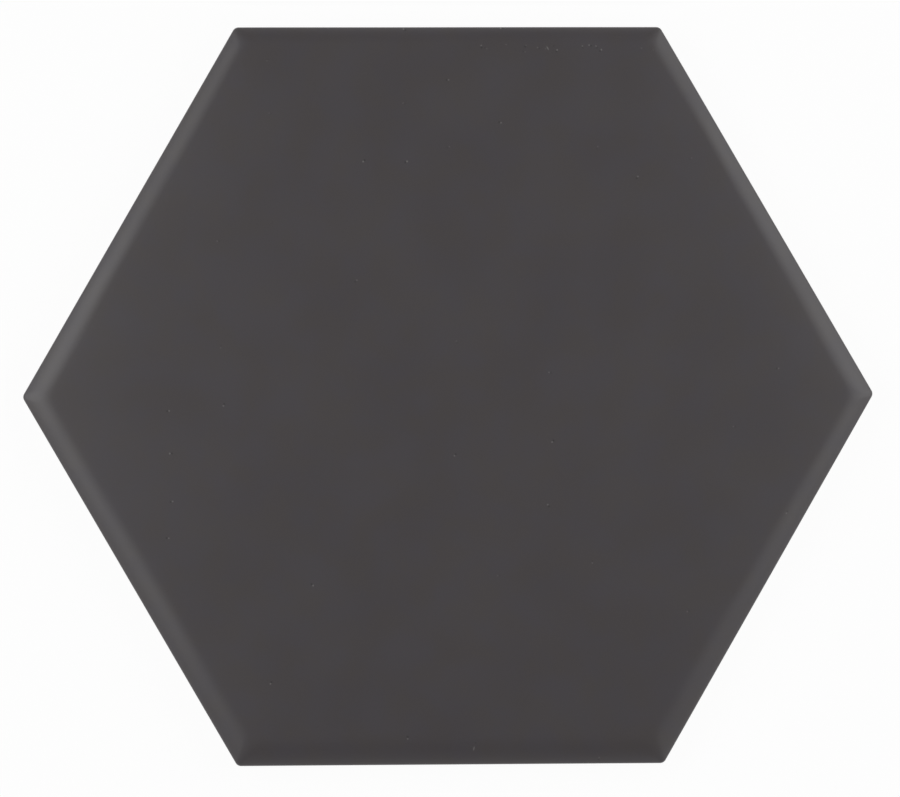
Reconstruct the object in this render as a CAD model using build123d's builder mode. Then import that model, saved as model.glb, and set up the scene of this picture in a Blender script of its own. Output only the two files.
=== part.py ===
from build123d import *

import os
from math import cos, floor, radians, sqrt

# A glazed ceramic hexagon tile with a cushioned edge and a keyed back, in millimetres.
# It lies face up. The origin is the centre of its back, +Z points out of the face and
# +X runs to a tip, so two of the six sides are parallel to X.

# Outline: a regular hexagon with rounded corners
across_flats = 173.0
side_count = 6
corner_radius = 1.5

# Section: a flat face that eases down over a crown, then a cushion and an arris, to an upright side
thickness = 9.0
crown_width = 22.0
crown_drop = 0.6
cushion_width = 5.5
cushion_drop = 1.5
corner_opening = 0.6  # corner radius gained for each millimetre in from the side
cushion_steps = 6
crown_steps = 4
arris_radius = 0.8
back_bevel = 1.0

# Back: a honeycomb of shallow pockets that keys the tile into its adhesive
key_pitch = 14.0
key_rib = 2.6
key_depth = 0.7
key_draft = 30.0
key_border = 5.5

# The cushion is an arc on top of the crown's parabola. Both end level and tangent at their inner ends.
apothem = across_flats / 2
shoulder_height = thickness - crown_drop - cushion_drop
cushion_radius = (cushion_width**2 + cushion_drop**2) / (2 * cushion_drop)

# The pockets stand in whole rings round a central one, inside the plain border. They are hexagons
# turned by half a side, so that their ribs are even.
half_side_angle = 180 / side_count
key_row = key_pitch * sqrt(3) / 2
pocket_apothem = (key_pitch - key_rib) / 2
pocket_reach = pocket_apothem / cos(radians(half_side_angle))
key_rings = floor((apothem - key_border - pocket_reach) / key_row)


def rounded_hexagon(inset, radius):
    """Draw the tile's outline, moved in by inset, with its corners rounded to radius."""
    with BuildSketch(mode=Mode.PRIVATE) as outline:
        RegularPolygon(apothem - inset, side_count, major_radius=False)
        fillet(outline.vertices(), radius)
    return outline.sketch


def insets_between(start, end, steps):
    """Evenly spaced insets from the side, for the outlines that a stretch of the edge is lofted through."""
    return [start + (end - start) * step / steps for step in range(steps + 1)]


def edge_height(inset):
    """Height of the face at an inset from the side."""
    into_cushion = max(cushion_width - inset, 0)
    cushion_fall = cushion_radius - sqrt(cushion_radius**2 - into_cushion**2)
    crown_fall = crown_drop * (1 - inset / crown_width) ** 2
    return thickness - cushion_fall - crown_fall


def key_centres():
    """Centres of the honeycomb's pockets, row by row."""
    centres = []
    for row in range(-key_rings, key_rings + 1):
        in_row = 2 * key_rings + 1 - abs(row)
        for place in range(in_row):
            centres.append(((place - (in_row - 1) / 2) * key_pitch, row * key_row))
    return centres


with BuildPart() as tile:
    # Upright body, up to the shoulder
    with BuildSketch():
        add(rounded_hexagon(0, corner_radius))
    extrude(amount=shoulder_height)

    # Cushion, then crown, each lofted through insets of the outline whose corners open towards the face
    cushion_insets = insets_between(0, cushion_width, cushion_steps)
    crown_insets = insets_between(cushion_width, crown_width, crown_steps)
    for insets in (cushion_insets, crown_insets):
        for inset in insets:
            with BuildSketch(Plane.XY.offset(edge_height(inset))):
                add(rounded_hexagon(inset, corner_radius + corner_opening * inset))
        loft()

    # Arris round the shoulder, and the bevel round the back
    fillet(tile.edges().filter_by_position(Axis.Z, shoulder_height, shoulder_height), arris_radius)
    chamfer(tile.faces().sort_by(Axis.Z)[0].edges(), back_bevel)

    # Key pockets, narrowing towards their floors
    with BuildSketch():
        with Locations(*key_centres()):
            RegularPolygon(pocket_apothem, side_count, major_radius=False, rotation=half_side_angle)
    extrude(amount=key_depth, taper=key_draft, mode=Mode.SUBTRACT)

tile.part.label = "hexagon_tile"
os.makedirs("parts", exist_ok=True)
export_step(tile.part, "parts/hexagon_tile.step")
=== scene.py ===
from math import cos, pi, radians, sin, sqrt, tan

import bpy
import numpy as np
from mathutils import Euler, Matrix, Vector, noise
from mathutils.geometry import delaunay_2d_cdt


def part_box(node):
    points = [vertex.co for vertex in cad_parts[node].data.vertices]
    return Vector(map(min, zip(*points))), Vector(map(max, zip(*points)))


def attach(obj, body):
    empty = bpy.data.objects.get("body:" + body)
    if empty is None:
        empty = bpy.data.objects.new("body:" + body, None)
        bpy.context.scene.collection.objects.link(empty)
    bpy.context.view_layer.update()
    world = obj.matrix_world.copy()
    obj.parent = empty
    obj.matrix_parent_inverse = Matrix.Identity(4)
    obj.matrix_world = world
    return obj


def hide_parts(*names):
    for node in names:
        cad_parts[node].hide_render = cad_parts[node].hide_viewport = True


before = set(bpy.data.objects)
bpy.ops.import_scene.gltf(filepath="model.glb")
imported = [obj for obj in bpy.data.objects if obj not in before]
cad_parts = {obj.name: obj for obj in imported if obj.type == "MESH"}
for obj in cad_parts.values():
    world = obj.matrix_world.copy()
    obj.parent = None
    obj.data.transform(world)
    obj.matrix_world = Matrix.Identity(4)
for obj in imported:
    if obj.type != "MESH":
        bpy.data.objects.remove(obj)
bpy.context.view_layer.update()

# A glazed ceramic hexagon tile seen from above. Lengths are in metres, in the frame of the CAD
# model: the tile lies face up on the floor, with the centre of its back at the origin.

MM = 0.001
SIDES = 6
CORNER_TURN = 2 * pi / SIDES
HALF_CORNER = pi / SIDES
WHITE = (1, 1, 1, 1)

# Sizes taken from the frame
tile_low, tile_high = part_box("hexagon_tile")
apothem = (tile_high.y - tile_low.y) / 2
thickness = tile_high.z

# Section of the tile's edge, as in the CAD model
corner_radius = 1.5 * MM
corner_opening = 0.6  # corner radius gained for each metre in from the side
crown_width = 22.0 * MM
crown_drop = 0.6 * MM
cushion_width = 5.5 * MM
cushion_drop = 1.5 * MM
arris_radius = 0.8 * MM
back_bevel = 1.0 * MM
shoulder_height = thickness - crown_drop - cushion_drop

# Honeycomb key in the back, as in the CAD model
key_pitch = 14.0 * MM
key_rib = 2.6 * MM
key_depth = 0.7 * MM
key_draft = radians(30)
key_border = 5.5 * MM

# Softened edges of the back and of its pockets
back_edge_radius = 0.35 * MM
key_edge_radius = 0.25 * MM
pocket_corner_radius = 0.8 * MM

# Fine relief that pressing and firing leave. The cushion is wider and deeper towards one side.
cushion_lean = 0.24
cushion_lean_side = radians(258)
cushion_wave = 0.4 * MM
cushion_wave_length = 24 * MM
face_wave = 0.04 * MM
face_wave_length = 26 * MM
side_wave = 0.05 * MM
side_wave_length = 9 * MM

# Cover of the glaze, from 1 down to 0 on the bare body. It dips a little along the arris, which pales
# the glaze there as a painted highlight of the rim, and it thins down the sides to a line that runs
# unevenly and ends in a step.
glaze_depth = 3.6 * MM
glaze_run = 0.9 * MM
glaze_run_length = 11 * MM
glaze_step = 0.12 * MM
thin_glaze = 0.6
arris_highlight_inset = 0.6 * MM
arris_highlight_width = 0.25 * MM
arris_highlight_wave_length = 7 * MM
arris_highlight_strength = 0.12

# Seeds that keep the waves from following each other
cushion_seed = 1.7
arris_highlight_seed = 3.4
side_seed = 4.1
face_seed = 6.2
glaze_run_seed = 8.3

# Fineness of the mesh
side_steps = 84
corner_steps = 10
crown_rings = 12
cushion_rings = 14
cushion_crowding = 1.5  # above 1, the cushion's rings stand closer towards the arris
arris_rings = 6
arris_rounds = 8
lip_rings = 3
wall_rings = 5
lattice_pitch = 1.35 * MM
pocket_side_steps = 3
pocket_corner_steps = 2
fillet_steps = 3
sharp_angle = radians(50)

# Triangulation: the output that keeps what lies inside the outer loop, and its tolerance
INSIDE_LOOP = 1
fill_tolerance = 1e-9

# Noise in the materials: levels of detail, and the range that most of its values lie in
plain_detail = 2.0
fine_detail = 3.0
finest_detail = 4.0
noise_span = (0.3, 0.7)

# Glaze: matte charcoal, a little warm, with faint clouds and a fine grain
glaze_warm = (0.0467, 0.0397, 0.0409)
glaze_cool = (0.0446, 0.0388, 0.0445)
# The thin colour is also a painted highlight along the arris. The pale and dark colours also paint the
# highlight and the shade on the two sides of each pinprick and scuff.
glaze_thin_and_highlight = (0.074, 0.063, 0.057)
glaze_pale_and_highlight = (0.15, 0.143, 0.14)
glaze_dark_and_shade = (0.012, 0.011, 0.0115)
glaze_roughness = (0.42, 0.46)
glaze_shine = 0.73
cloud_length = 7 * MM
grain_length = 0.5 * MM
grain_span = (0.25, 0.75)
grain_cover = 0.02
peel_length = 2.2 * MM
peel_height = 0.006 * MM

# Dots: pairs of a pale one and a dark one beside it. On the glaze a pair is a painted highlight and
# painted shade on the two sides of each pinprick and scuff; the body's specks use the pale dot alone.
# Sizes are in radii of the pale dot.
dot_core = 0.3
dot_gap = 1.7
dark_dot_size = 1.2
faintest_dot = 0.25  # cover of the faintest pair

# Marks in the glaze: two pale dashes and a dark chip, and scattered pinpricks and a row of scuffs near
# one side, drawn as a painted highlight and painted shade on their two sides
prick_cell = 11 * MM
prick_share = 0.2
prick_radius = 0.28 * MM
prick_ragged = 0.25 * MM
scuff_cell = 1.5 * MM
scuff_share = 0.3
scuff_middle = (27 * MM, 81.3 * MM)
scuff_half_length = 22 * MM
scuff_half_width = 1.1 * MM
scuff_fade = 3 * MM
scuff_drift = 3 * MM
scuff_drift_length = 14 * MM
dashes = (
    ((5.3 * MM, -82.6 * MM, 0), radians(14)),
    ((23.4 * MM, 81.3 * MM, 0), radians(-30)),
)
dash_squeeze = (1, 0.3, 0)  # across the dash, along it and upward
dash_radius = 0.22 * MM
dash_cover = 0.8
chip_place = (5.65 * MM, -81.25 * MM, 0)

# Body: bare fired clay on the lower sides and the back, with kiln wash left on the raised parts
body_light = (0.46, 0.405, 0.335)
body_dark = (0.33, 0.28, 0.225)
body_wash = (0.62, 0.595, 0.55)
body_speck = (0.12, 0.095, 0.075)
body_roughness = (0.82, 0.95)
body_shine = 0.3
body_cloud_length = 18 * MM
body_grain_length = 0.7 * MM
body_grain_height = 0.03 * MM
body_grain_cover = 0.25
body_speck_cell = 2.6 * MM
body_speck_share = 0.5
body_speck_radius = 0.32 * MM
wash_length = 9 * MM
wash_reach = 0.25 * MM
wash_span = (0.4, 0.62)
wash_cover = (0.15, 0.85)

# Studio: two soft lamps, a dim ceiling above a white horizon, and a white floor
left_lamp_place = (-499 * MM, 56 * MM, 527 * MM)
right_lamp_place = (466 * MM, 100 * MM, 399 * MM)
lamp_size = (662 * MM, 441 * MM)
left_lamp_power = 2.31
right_lamp_power = 1.67
ceiling_light = 0.2
horizon_light = 1.0
horizon_top = 0.15
ceiling_bottom = 0.6
floor_colour = (0.85, 0.85, 0.85)
floor_white = 0.95
floor_half = 4.0

# Camera: the photograph's frame, its distance and the small turns that fit the tile's six corners
image_width = 900
focal_pixels = 3412.0
camera_distance = 800 * MM
camera_offset = Vector((0.137 * MM, -0.748 * MM, camera_distance))
camera_turn = Euler((radians(1.0), radians(-1.717), radians(-0.265)))
camera_clip = (10 * MM, 20.0)
sensor_width = 36.0


def unit(angle):
    """Unit vectors in the plane at the given angles."""
    return np.stack([np.cos(angle), np.sin(angle)], axis=-1)


def hexagon_places(straight, corner, turn=0.0):
    """Places round a rounded hexagon, in so many steps along a side and round a corner.

    Gives the direction of each place's corner centre and its outward normal.
    """
    centres, normals = [], []
    for tip in turn + np.arange(SIDES) * CORNER_TURN:
        swing = np.linspace(-HALF_CORNER, HALF_CORNER, corner + 1)
        centres.append(np.repeat(unit(np.array([tip])), corner + 1, axis=0))
        normals.append(unit(tip + swing))
        share = np.arange(1, straight)[:, None] / straight
        centres.append((1 - share) * unit(tip) + share * unit(tip + CORNER_TURN))
        normals.append(np.repeat(unit(np.array([tip + HALF_CORNER])), straight - 1, axis=0))
    return np.concatenate(centres), np.concatenate(normals)


def hexagon_loop(places, half_width, radius):
    """Points of a rounded hexagon of the given half width across flats and corner radius."""
    centres, normals = places
    reach = np.broadcast_to((half_width - radius) / cos(HALF_CORNER), len(centres))
    radius = np.broadcast_to(radius, len(centres))
    return reach[:, None] * centres + radius[:, None] * normals


def rounded_corner(before, corner, after, radius, steps):
    """Points of the arc that rounds a corner between two straight runs of a section."""
    corner = np.array(corner)
    back = np.array(before) - corner
    on = np.array(after) - corner
    back /= np.linalg.norm(back)
    on /= np.linalg.norm(on)
    half = np.arccos(np.clip(back @ on, -1, 1)) / 2
    centre = corner + (back + on) / np.linalg.norm(back + on) * radius / sin(half)
    start = corner + back * radius / tan(half) - centre
    end = corner + on * radius / tan(half) - centre
    turn = pi - 2 * half
    points = []
    for step in range(steps + 1):
        share = step / steps
        points.append(centre + (start * sin((1 - share) * turn) + end * sin(share * turn)) / sin(turn))
    return points


def wave(points, length, seed):
    """Smooth noise, about -1 to 1, at points in the plane, that varies over the given length."""
    return np.array([noise.noise(Vector((x / length, y / length, seed))) for x, y in points])


def swell(points, length, seed):
    """The same smooth noise, carried to about 0 to 1."""
    return (1 + wave(points, length, seed)) / 2


class TileMesh:
    """Vertices, faces and glaze cover of the tile, gathered loop by loop."""

    def __init__(self):
        self.points = []
        self.glaze = []
        self.faces = []

    def add_loop(self, flat, height, glaze):
        """Add points, with one height and glaze cover or one for each, and give their vertex numbers."""
        first = len(self.points)
        heights = np.broadcast_to(height, len(flat))
        covers = np.broadcast_to(glaze, len(flat))
        for (x, y), z, cover in zip(flat, heights, covers):
            self.points.append((x, y, z))
            self.glaze.append(cover)
        return np.arange(first, first + len(flat))

    def bridge(self, loops):
        """Join each loop to the next by quads, which face out if the loops run down the outside."""
        for upper, lower in zip(loops, loops[1:]):
            for i in range(len(upper)):
                j = (i + 1) % len(upper)
                self.faces.append((upper[i], lower[i], lower[j], upper[j]))


class EdgeSection:
    """Heights and slopes across the crown and the cushion, at each place round the tile."""

    def __init__(self, outline):
        side = np.arctan2(outline[:, 1], outline[:, 0])
        share = 1 + cushion_lean * np.cos(side - cushion_lean_side)
        share += cushion_wave / cushion_width * wave(outline, cushion_wave_length, cushion_seed)
        self.width = cushion_width * share
        drop = cushion_drop * share
        self.radius = (self.width**2 + drop**2) / (2 * drop)

    def height(self, inset):
        """Height of the surface at an inset from the side."""
        into_cushion = np.maximum(self.width - inset, 0)
        cushion_fall = self.radius - np.sqrt(self.radius**2 - into_cushion**2)
        return thickness - cushion_fall - crown_drop * (1 - inset / crown_width) ** 2

    def slope(self, inset):
        """Angle of the surface to level at an inset from the side."""
        into_cushion = np.maximum(self.width - inset, 0)
        cushion_slope = into_cushion / np.sqrt(self.radius**2 - into_cushion**2)
        return np.arctan(cushion_slope + 2 * crown_drop / crown_width * (1 - inset / crown_width))


def face_dip(flat):
    """How far the glaze lies below the pressed face at points in the plane."""
    return face_wave * swell(flat, face_wave_length, face_seed)


def edge_of(mesh, places):
    """Lay the rings of the crown, cushion and arris, from the face down. Gives the first and last."""
    section = EdgeSection(hexagon_loop(places, apothem, corner_radius))

    # The arris starts at the inset where its slope is the cushion's, which a few rounds close in on
    arris_inset = arris_radius
    for _ in range(arris_rounds):
        arris_inset = arris_radius * (1 - np.sin(section.slope(arris_inset)))
    first_slope = section.slope(arris_inset)
    arris_height = section.height(arris_inset) - arris_radius * np.cos(first_slope)

    rings = []
    for step in range(crown_rings):
        inset = crown_width + (section.width - crown_width) * step / crown_rings
        rings.append((inset, section.height(inset)))
    for step in range(cushion_rings + 1):
        share = (1 - step / cushion_rings) ** cushion_crowding
        inset = arris_inset + (section.width - arris_inset) * share
        rings.append((inset, section.height(inset)))
    for step in range(1, arris_rings + 1):
        slope = first_slope + (pi / 2 - first_slope) * step / arris_rings
        rings.append((arris_radius * (1 - np.sin(slope)), arris_height + arris_radius * np.cos(slope)))

    loops = []
    for inset, height in rings:
        flat = hexagon_loop(places, apothem - inset, corner_radius + corner_opening * inset)
        # The cover dips a little along the arris, which pales the glaze there: a painted highlight of the
        # rim.
        near_arris = np.exp(-(((inset - arris_highlight_inset) / arris_highlight_width) ** 2))
        arris_highlight = near_arris * swell(flat, arris_highlight_wave_length, arris_highlight_seed)
        loops.append(mesh.add_loop(flat, height - face_dip(flat), 1 - arris_highlight_strength * arris_highlight))
    mesh.bridge(loops)
    return loops[0], loops[-1]


def side_of(mesh, places, top):
    """Lay the rings of the side, below its top ring, and give the last.

    Glaze thins down to an uneven line, then comes the bare body and the bevel round the back.
    """
    outline = hexagon_loop(places, apothem, corner_radius)
    top_height = np.array([mesh.points[n][2] for n in top])
    line = thickness - glaze_depth + glaze_run * wave(outline, glaze_run_length, glaze_run_seed)
    bare = glaze_step + side_wave * swell(outline, side_wave_length, side_seed)
    loops = [top]
    for step in range(1, lip_rings + 1):
        share = step / lip_rings
        height = top_height + (line - top_height) * share
        loops.append(mesh.add_loop(outline, height, 1 + (thin_glaze - 1) * share))
    edge = line - glaze_step
    wall = hexagon_loop(places, apothem - bare, corner_radius)
    loops.append(mesh.add_loop(wall, edge, 0.0))
    bevel_top = (0, back_bevel)
    bevel_end = (back_bevel, 0)
    section = rounded_corner((0, thickness), bevel_top, bevel_end, back_edge_radius, fillet_steps)
    section += rounded_corner(bevel_top, bevel_end, (apothem, 0), back_edge_radius, fillet_steps)
    bottom = section[0][1]
    for step in range(1, wall_rings):
        loops.append(mesh.add_loop(wall, edge + (bottom - edge) * step / wall_rings, 0.0))
    for inset, height in section:
        flat = hexagon_loop(places, apothem - bare - inset, corner_radius)
        loops.append(mesh.add_loop(flat, height, 0.0))
    mesh.bridge(loops)
    return loops[-1]


def key_centres():
    """Centres of the honeycomb's pockets, in whole rings round a central one."""
    row_pitch = key_pitch * sqrt(3) / 2
    pocket_reach = (key_pitch - key_rib) / 2 / cos(HALF_CORNER)
    rings = int((apothem - key_border - pocket_reach) / row_pitch)
    centres = []
    for row in range(-rings, rings + 1):
        in_row = 2 * rings + 1 - abs(row)
        for place in range(in_row):
            centres.append(((place - (in_row - 1) / 2) * key_pitch, row * row_pitch))
    return centres


def pocket_section():
    """Half width and depth down a pocket's wall, with its rim and its floor's edge rounded."""
    half = (key_pitch - key_rib) / 2
    narrow = half - key_depth * tan(key_draft)
    rim = rounded_corner((half + key_rib, 0), (half, 0), (narrow, key_depth), key_edge_radius, fillet_steps)
    floor = rounded_corner((half, 0), (narrow, key_depth), (0, key_depth), key_edge_radius, fillet_steps)
    return rim + floor


def pockets_of(mesh):
    """Lay the pockets of the honeycomb key and give the loop of each rim."""
    places = hexagon_places(pocket_side_steps, pocket_corner_steps, turn=HALF_CORNER)
    rims = []
    for centre in key_centres():
        loops = []
        for half, depth in pocket_section():
            flat = hexagon_loop(places, half, pocket_corner_radius) + np.array(centre)
            loops.append(mesh.add_loop(flat, depth, 0.0))
        mesh.bridge(loops)
        floor = loops[-1]
        middle = mesh.add_loop([centre], key_depth, 0.0)[0]
        for i in range(len(floor)):
            mesh.faces.append((floor[(i + 1) % len(floor)], floor[i], middle))
        rims.append(loops[0])
    return rims


def lattice(half_width, radius):
    """Points of a triangular lattice inside a rounded hexagon."""
    tip = half_width / cos(HALF_CORNER) - radius * (1 / cos(HALF_CORNER) - 1)
    row_pitch = lattice_pitch * sqrt(3) / 2
    rows = int(half_width / row_pitch) + 1
    columns = int(half_width / cos(HALF_CORNER) / lattice_pitch) + 1
    found = []
    for row in range(-rows, rows + 1):
        for column in range(-columns - 1, columns + 1):
            x = (column + (row % 2) / 2) * lattice_pitch
            y = row * row_pitch
            reach = max(abs(y), abs(x) * cos(HALF_CORNER) + abs(y) * sin(HALF_CORNER))
            corner_reach = max(abs(x), abs(x) * sin(HALF_CORNER) + abs(y) * cos(HALF_CORNER))
            if reach < half_width and corner_reach < tip:
                found.append((x, y))
    return np.array(found)


def fill(mesh, outer, holes, inside, upward):
    """Fill the flat region inside a loop, but not its holes, with triangles through the points inside."""
    loops = [outer, *holes]
    numbers = [int(n) for loop in [*loops, inside] for n in loop]
    flat = [Vector(mesh.points[n][:2]) for n in numbers]
    edges = []
    first = 0
    for loop in loops:
        edges += [(first + i, first + (i + 1) % len(loop)) for i in range(len(loop))]
        first += len(loop)
    hole_of = {int(n): int(hole[0]) for hole in holes for n in hole}
    _, _, triangles, came_from, _, _ = delaunay_2d_cdt(flat, edges, [], INSIDE_LOOP, fill_tolerance)
    for triangle in triangles:
        corners = [numbers[came_from[v][0]] for v in triangle]
        touched = {hole_of.get(n) for n in corners}
        lies_in_hole = len(touched) == 1 and None not in touched
        if lies_in_hole:
            continue
        a, b, c = (Vector(mesh.points[n][:2]) for n in corners)
        left_turn = (b - a).cross(c - a) > 0
        mesh.faces.append(tuple(corners if left_turn == upward else reversed(corners)))


def tile_object():
    """The glazed tile as one closed mesh, with its glaze cover as an attribute."""
    mesh = TileMesh()
    places = hexagon_places(side_steps, corner_steps)
    face_ring, side_top = edge_of(mesh, places)
    back_ring = side_of(mesh, places, side_top)
    flat = lattice(apothem - crown_width - lattice_pitch, corner_radius + corner_opening * crown_width)
    inside = mesh.add_loop(flat, thickness - face_dip(flat), 1.0)
    fill(mesh, face_ring, [], inside, True)
    rims = pockets_of(mesh)
    fill(mesh, back_ring, rims, [], False)

    data = bpy.data.meshes.new("hexagon_tile_glazed")
    data.from_pydata(mesh.points, [], mesh.faces)
    cover = data.attributes.new("glaze", "FLOAT", "POINT")
    cover.data.foreach_set("value", np.array(mesh.glaze, np.float32))

    # The glaze is the first material. The body, the second, is where the cover falls below thin glaze.
    data.materials.append(glaze_material())
    data.materials.append(body_material())
    for polygon in data.polygons:
        polygon.use_smooth = True
        polygon.material_index = int(any(mesh.glaze[n] < thin_glaze for n in polygon.vertices))
    data.set_sharp_from_angle(angle=sharp_angle)
    data.validate()
    piece = bpy.data.objects.new("hexagon_tile_glazed", data)
    bpy.context.scene.collection.objects.link(piece)
    return piece


class Graph:
    """Adds nodes to a tree. An input is given a plain value, or the socket that feeds it."""

    # Numbers of the Mix node's colour sockets, which share their names with its other sockets
    MIX_COLOURS = (6, 7)
    MIX_RESULT = 2

    def __init__(self, tree):
        self.tree = tree
        tree.nodes.clear()

    def feed(self, node, name, value):
        """Give an input, by name or number, its plain value or its socket."""
        if isinstance(value, bpy.types.NodeSocket):
            self.tree.links.new(value, node.inputs[name])
        else:
            node.inputs[name].default_value = value

    def node(self, kind, inputs, **settings):
        """Add a node with its settings and its inputs."""
        new = self.tree.nodes.new("ShaderNode" + kind)
        for name, value in settings.items():
            setattr(new, name, value)
        for name, value in inputs.items():
            self.feed(new, name, value)
        return new

    def math(self, operation, a, b=0.0):
        """A sum, a product or another operation on one or two numbers."""
        return self.node("Math", {0: a, 1: b}, operation=operation).outputs[0]

    def vector(self, operation, a, b=(0, 0, 0)):
        """A sum, product or length of vectors."""
        name = "Value" if operation == "LENGTH" else "Vector"
        return self.node("VectorMath", {0: a, 1: b}, operation=operation).outputs[name]

    def ramp(self, value, low, high, to_low=0.0, to_high=1.0):
        """A number carried smoothly from one range to another, and held at its ends."""
        inputs = {"Value": value, "From Min": low, "From Max": high, "To Min": to_low, "To Max": to_high}
        return self.node("MapRange", inputs, interpolation_type="SMOOTHSTEP").outputs["Result"]

    def noise(self, place, length, detail=plain_detail):
        """Soft noise from 0 to 1 that varies over the given length."""
        inputs = {"Vector": place, "Scale": 1 / length, "Detail": detail}
        return self.node("TexNoise", inputs, noise_dimensions="3D").outputs["Fac"]

    def mix(self, share, a, b):
        """A colour part of the way from a to b. A plain colour has three numbers."""
        new = self.node("Mix", {0: share}, data_type="RGBA")
        for number, colour in zip(self.MIX_COLOURS, (a, b)):
            plain = isinstance(colour, tuple)
            self.feed(new, number, (*colour, 1) if plain else colour)
        return new.outputs[self.MIX_RESULT]


def new_material(name):
    """A material without nodes yet, and the graph that adds them."""
    material = bpy.data.materials.new(name)
    material.use_nodes = True
    return material, Graph(material.node_tree)


def finished(graph, colour, roughness, height, shine):
    """One shader with the given colour, roughness, height in metres and shine."""
    bump = graph.node("Bump", {"Height": height, "Strength": 1.0, "Distance": 1.0})
    inputs = {"Base Color": colour, "Roughness": roughness, "Normal": bump.outputs["Normal"]}
    shader = graph.node("BsdfPrincipled", {**inputs, "Specular IOR Level": shine})
    graph.node("OutputMaterial", {"Surface": shader.outputs["BSDF"]})


def dots(graph, place, cell, share, radius, dimensions="2D"):
    """Cover of pale and of dark dots: a pair in some cells, the dark one beside the pale one."""
    # On the glaze, the pale dot is a painted highlight and the dark one painted shade, on the two sides of
    # a pit.
    cells = graph.node("TexVoronoi", {"Vector": place, "Scale": 1 / cell}, voronoi_dimensions=dimensions)
    chance = graph.node("SeparateColor", {"Color": cells.outputs["Color"]})
    there = graph.math("LESS_THAN", chance.outputs["Red"], share)
    strength = graph.ramp(chance.outputs["Green"], 0.0, 1.0, faintest_dot, 1.0)
    strength = graph.math("MULTIPLY", there, strength)
    offset = graph.vector("SUBTRACT", place, cells.outputs["Position"])
    pale = graph.ramp(graph.vector("LENGTH", offset), dot_core * radius, radius, 1.0, 0.0)
    turn = graph.math("MULTIPLY", chance.outputs["Blue"], 2 * pi)
    away = {"X": graph.math("COSINE", turn), "Y": graph.math("SINE", turn)}
    shift = graph.vector("MULTIPLY", graph.node("CombineXYZ", away).outputs[0], (dot_gap * radius,) * 3)
    beside = graph.vector("LENGTH", graph.vector("SUBTRACT", offset, shift))
    dark = graph.ramp(beside, dot_core * radius, dark_dot_size * radius, 1.0, 0.0)
    return graph.math("MULTIPLY", pale, strength), graph.math("MULTIPLY", dark, strength)


def scuff_band(graph, place):
    """Cover of the band that the row of scuffs lies in, which drifts a little from a straight line."""
    parts = graph.node("SeparateXYZ", {"Vector": place})
    drift = graph.math("MULTIPLY", graph.noise(place, scuff_drift_length), scuff_drift)
    across = graph.math("SUBTRACT", parts.outputs["Y"], scuff_middle[1] - scuff_drift / 2)
    across = graph.math("ABSOLUTE", graph.math("SUBTRACT", across, drift))
    along = graph.math("ABSOLUTE", graph.math("SUBTRACT", parts.outputs["X"], scuff_middle[0]))
    near = graph.ramp(across, scuff_half_width / 2, scuff_half_width, 1.0, 0.0)
    within = graph.ramp(along, scuff_half_length - scuff_fade, scuff_half_length, 1.0, 0.0)
    return graph.math("MULTIPLY", near, within)


def dash(graph, place, middle, turn):
    """Cover of one pale dash."""
    inputs = {"Vector": place, "Center": middle, "Angle": turn}
    turned = graph.node("VectorRotate", inputs, rotation_type="Z_AXIS").outputs[0]
    offset = graph.vector("SUBTRACT", turned, middle)
    length = graph.vector("LENGTH", graph.vector("MULTIPLY", offset, dash_squeeze))
    return graph.ramp(length, dot_core * dash_radius, dash_radius, dash_cover, 0.0)


def chip(graph, place):
    """Cover of the dark chip beside a dash."""
    away = graph.vector("LENGTH", graph.vector("SUBTRACT", place, chip_place))
    return graph.ramp(away, 0.0, dash_radius, 1.0, 0.0)


def glaze_marks_and_painted_light(graph, place):
    """Pale and dark cover: marks, and painted highlight and shade of pits, ending where the sides begin."""
    flat_place = graph.vector("MULTIPLY", place, (1, 1, 0))
    ragged = graph.node("TexNoise", {"Vector": flat_place, "Scale": 1 / prick_ragged}).outputs["Color"]
    ragged = graph.vector("SUBTRACT", ragged, (0.5, 0.5, 0.5))
    ragged = graph.vector("MULTIPLY", ragged, (prick_ragged, prick_ragged, 0))
    ragged_place = graph.vector("ADD", flat_place, ragged)

    # The pinpricks and the scuffs are each a painted highlight beside painted shade.
    pale, dark = dots(graph, ragged_place, prick_cell, prick_share, prick_radius)
    scuff_highlight, scuff_shade = dots(graph, ragged_place, scuff_cell, scuff_share, prick_radius)
    band = scuff_band(graph, flat_place)
    dark = graph.math("MAXIMUM", dark, graph.math("MULTIPLY", scuff_shade, band))
    dark = graph.math("MAXIMUM", dark, chip(graph, flat_place))
    pale = graph.math("MAXIMUM", pale, graph.math("MULTIPLY", scuff_highlight, band))
    for middle, turn in dashes:
        pale = graph.math("MAXIMUM", pale, dash(graph, ragged_place, middle, turn))

    height = graph.node("SeparateXYZ", {"Vector": place}).outputs["Z"]
    on_face = graph.ramp(height, shoulder_height - arris_radius, shoulder_height)
    return graph.math("MULTIPLY", pale, on_face), graph.math("MULTIPLY", dark, on_face)


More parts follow.
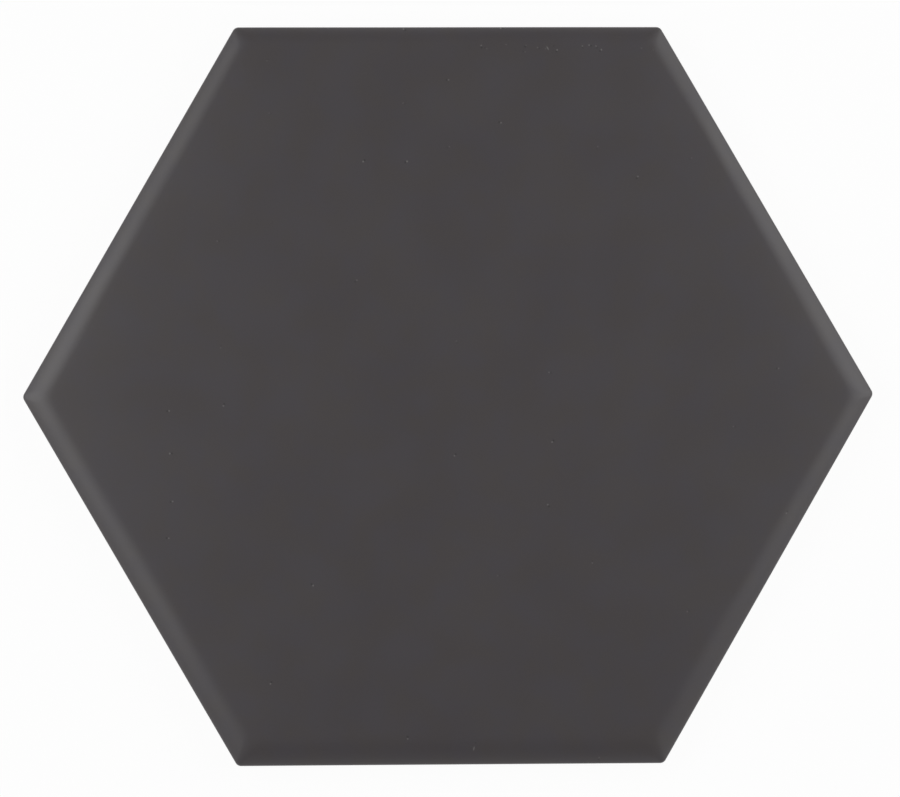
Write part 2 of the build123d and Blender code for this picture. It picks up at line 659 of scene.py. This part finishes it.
def glaze_material():
    """Matte glaze, pale where it is thin and, as a painted highlight, along the arris, with its marks."""
    material, graph = new_material("matte_charcoal_glaze")
    place = graph.node("TexCoord", {}).outputs["Object"]
    cover = graph.node("Attribute", {}, attribute_name="glaze").outputs["Fac"]

    clouds = graph.ramp(graph.noise(place, cloud_length, fine_detail), *noise_span)
    colour = graph.mix(clouds, glaze_warm, glaze_cool)
    # The colour of thin glaze also gives the painted highlight along the arris, where the cover dips.
    colour = graph.mix(graph.ramp(cover, thin_glaze, 1.0, 1.0, 0.0), colour, glaze_thin_and_highlight)
    grain = graph.ramp(graph.noise(place, grain_length), *grain_span, 0.0, grain_cover)
    colour = graph.mix(grain, colour, glaze_pale_and_highlight)
    pale, dark = glaze_marks_and_painted_light(graph, place)
    # Besides the dashes and the chip, the dark cover paints shade and the pale cover a highlight at each
    # pit.
    colour = graph.mix(dark, colour, glaze_dark_and_shade)
    colour = graph.mix(pale, colour, glaze_pale_and_highlight)

    roughness = graph.ramp(graph.noise(place, 2 * cloud_length), *noise_span, *glaze_roughness)
    peel = graph.math("MULTIPLY", graph.noise(place, peel_length), peel_height)
    finished(graph, colour, roughness, peel, glaze_shine)
    return material


def body_material():
    """Bare fired clay with specks, and kiln wash on what is raised."""
    material, graph = new_material("fired_clay")
    place = graph.node("TexCoord", {}).outputs["Object"]

    clouds = graph.ramp(graph.noise(place, body_cloud_length, finest_detail), *noise_span)
    colour = graph.mix(clouds, body_light, body_dark)
    grain = graph.noise(place, body_grain_length, fine_detail)
    colour = graph.mix(graph.ramp(grain, *noise_span, body_grain_cover, 0.0), colour, body_dark)
    height = graph.node("SeparateXYZ", {"Vector": place}).outputs["Z"]
    raised = graph.ramp(height, 0.0, wash_reach, 1.0, 0.0)
    patches = graph.ramp(graph.noise(place, wash_length, finest_detail), *wash_span, *wash_cover)
    colour = graph.mix(graph.math("MULTIPLY", raised, patches), colour, body_wash)
    specks, _ = dots(graph, place, body_speck_cell, body_speck_share, body_speck_radius, "3D")
    colour = graph.mix(specks, colour, body_speck)

    roughness = graph.ramp(grain, *noise_span, *body_roughness)
    relief = graph.math("MULTIPLY", grain, body_grain_height)
    finished(graph, colour, roughness, relief, body_shine)
    return material


def soft_lamp(name, place, power):
    """A soft rectangular lamp, its long side level, that faces the middle of the tile."""
    data = bpy.data.lights.new(name, "AREA")
    data.shape = "RECTANGLE"
    data.size, data.size_y = lamp_size
    data.energy = power
    lamp = bpy.data.objects.new(name, data)
    lamp.location = place
    lamp.rotation_euler = (-Vector(place)).to_track_quat("-Z", "Y").to_euler()
    lamp.visible_camera = False
    bpy.context.scene.collection.objects.link(lamp)


def floor_material():
    """Pale paper that looks white and keeps a faint shadow."""
    material, graph = new_material("white_floor")
    paper = graph.node("BsdfDiffuse", {"Color": (*floor_colour, 1)})
    white = graph.node("Emission", {"Strength": 1.0})
    rays = graph.node("LightPath", {}).outputs
    seen = graph.math("MAXIMUM", rays["Is Camera Ray"], rays["Is Glossy Ray"])
    seen = graph.math("MAXIMUM", seen, rays["Is Transmission Ray"])
    share = graph.math("MULTIPLY", seen, floor_white)
    mix = graph.node("MixShader", {0: share, 1: paper.outputs[0], 2: white.outputs[0]})
    graph.node("OutputMaterial", {"Surface": mix.outputs[0]})
    return material


def white_floor():
    """A wide square floor under the tile."""
    data = bpy.data.meshes.new("floor")
    corners = [(-floor_half, -floor_half, 0), (floor_half, -floor_half, 0)]
    corners += [(floor_half, floor_half, 0), (-floor_half, floor_half, 0)]
    data.from_pydata(corners, [], [(0, 1, 2, 3)])
    data.materials.append(floor_material())
    floor = bpy.data.objects.new("floor", data)
    bpy.context.scene.collection.objects.link(floor)


def studio_world():
    """Soft light from all round: white at the horizon and dimmer overhead."""
    world = bpy.data.worlds.new("studio")
    bpy.context.scene.world = world
    world.use_nodes = True
    graph = Graph(world.node_tree)
    direction = graph.node("TexCoord", {}).outputs["Generated"]
    rise = graph.node("SeparateXYZ", {"Vector": direction}).outputs["Z"]
    strength = graph.ramp(rise, horizon_top, ceiling_bottom, horizon_light, ceiling_light)
    light = graph.node("Background", {"Color": WHITE, "Strength": strength})
    graph.node("OutputWorld", {"Surface": light.outputs[0]})


def photo_camera():
    """A long lens that looks down on the tile."""
    data = bpy.data.cameras.new("camera")
    data.sensor_width = sensor_width
    data.lens = focal_pixels / image_width * sensor_width
    data.clip_start, data.clip_end = camera_clip
    camera = bpy.data.objects.new("camera", data)
    camera.location = camera_turn.to_matrix() @ camera_offset + Vector((0, 0, shoulder_height))
    camera.rotation_euler = camera_turn
    bpy.context.scene.collection.objects.link(camera)
    bpy.context.scene.camera = camera


tile = tile_object()
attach(tile, "root")
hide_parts("hexagon_tile")

photo_camera()
white_floor()
studio_world()
soft_lamp("left_lamp", left_lamp_place, left_lamp_power)
soft_lamp("right_lamp", right_lamp_place, right_lamp_power)

bpy.context.scene.view_settings.view_transform = "Standard"
